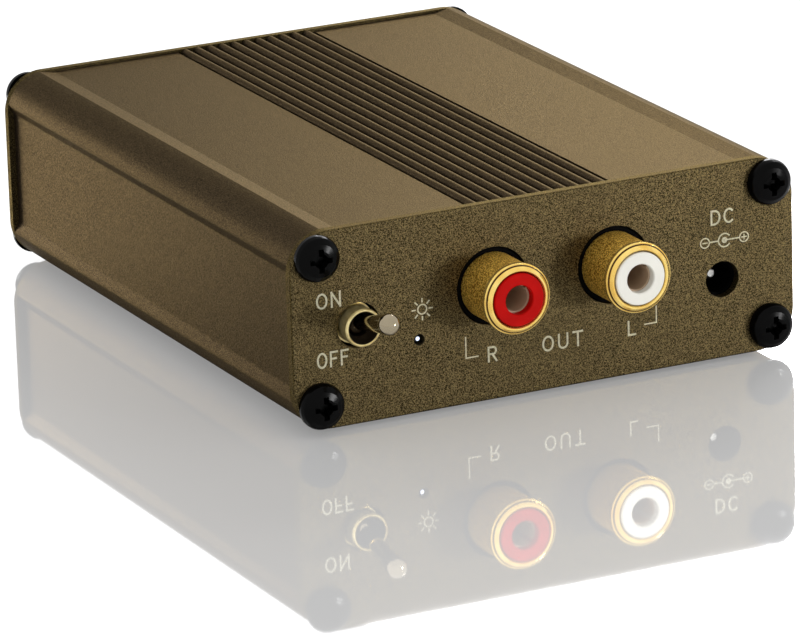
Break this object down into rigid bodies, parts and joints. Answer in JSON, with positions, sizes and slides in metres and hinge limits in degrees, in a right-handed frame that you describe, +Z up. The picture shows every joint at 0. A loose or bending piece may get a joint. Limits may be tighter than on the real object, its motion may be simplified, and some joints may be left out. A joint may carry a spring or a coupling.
{
  "type": "phono preamp",
  "caption": "Compact bronze-anodised phono preamp with ribbed extruded case, red and white gilt phono sockets, toggle switch, lamp, DC inlet and ground terminal.",
  "frame": {"origin": "on the table, under the middle of the case", "axes": "-Y out of the panel with the toggle switch, +Y out of the input side, +Z up, X across the width"},
  "size_m": [0.069, 0.1066, 0.0255],
  "materials": {
    "case_metal": "bronze anodised, satin",
    "panel_metal": "bronze anodised, fine grained",
    "black_screw": "black, glossy",
    "gilt_metal": "gilt, satin",
    "contact_gilt": "gilt",
    "insert_red": "glossy",
    "insert_white": "glossy",
    "black_plastic": "moulded",
    "bushing_metal": "plated",
    "lever_metal": "polished",
    "contact_metal": "tinned",
    "lamp_lens": "diffusing",
    "foot_rubber": "matt",
    "wire_sleeve": "satin",
    "chip_plastic": "moulded",
    "can_sleeve": "sleeved",
    "film_case": "moulded",
    "resistor_coat": "lacquered",
    "board_laminate": "solder mask"
  },
  "bodies": {
    "case": {"enclosure": "case_metal", "front_panel": "panel_metal", "rear_panel": "panel_metal", "front_panel_screws": "black_screw", "rear_panel_screws": "black_screw", "toggle_bushing": "bushing_metal", "toggle_body": "black_plastic", "toggle_terminals": "contact_metal", "lamp_lens": "lamp_lens", "lamp_leads": "contact_metal", "dc_inlet_body": "black_plastic", "dc_inlet_spring": "contact_metal", "dc_inlet_pin": "contact_metal", "rubber_feet": "foot_rubber", "ground_stud": "gilt_metal", "ground_inner_nut": "gilt_metal", "ground_lug": "contact_metal", "ground_wire": "wire_sleeve", "input_amplifier_chip": "chip_plastic", "output_amplifier_chip": "chip_plastic", "electrolytic_capacitors": "can_sleeve", "film_capacitors": "film_case", "resistors": "resistor_coat", "voltage_regulator": "chip_plastic", "circuit_board": "board_laminate", "output_red_shell": "gilt_metal", "output_red_insert": "insert_red", "output_red_contact": "contact_gilt", "output_red_body": "black_plastic", "output_white_shell": "gilt_metal", "output_white_insert": "insert_white", "output_white_contact": "contact_gilt", "output_white_body": "black_plastic", "input_red_shell": "gilt_metal", "input_red_insert": "insert_red", "input_red_contact": "contact_gilt", "input_red_body": "black_plastic", "input_white_shell": "gilt_metal", "input_white_insert": "insert_white", "input_white_contact": "contact_gilt", "input_white_body": "black_plastic"},
    "lever": {"toggle_lever": "lever_metal"},
    "rocker": {"toggle_rocker": "contact_metal"},
    "thumb_nut": {"ground_nut": "gilt_metal"},
    "washer": {"ground_washer": "gilt_metal"}
  },
  "joints": [
    {"name": "toggle", "type": "hinge", "parent": "case", "child": "lever", "pos_m": [-0.0256, -0.0425, 0.013], "axis": [1, 0, 0], "range_deg": [0, 28]},
    {"name": "rocker", "type": "hinge", "parent": "case", "child": "rocker", "pos_m": [-0.0256, -0.03665, 0.013], "axis": [1, 0, 0], "range_deg": [-14, 0]},
    {"name": "nut_travel", "type": "slide", "parent": "case", "child": "washer", "axis": [0, 1, 0], "range_m": [0, 0.0021]},
    {"name": "nut_turn", "type": "hinge", "parent": "washer", "child": "thumb_nut", "pos_m": [-0.0244, 0.0475, 0.013], "axis": [0, 1, 0], "range_deg": [0, 1080]}
  ],
  "couplings": [
    {"joint": "rocker", "follows": "toggle", "ratio": -0.5},
    {"joint": "nut_turn", "follows": "nut_travel", "rad_per_m": 8975.9}
  ]
}
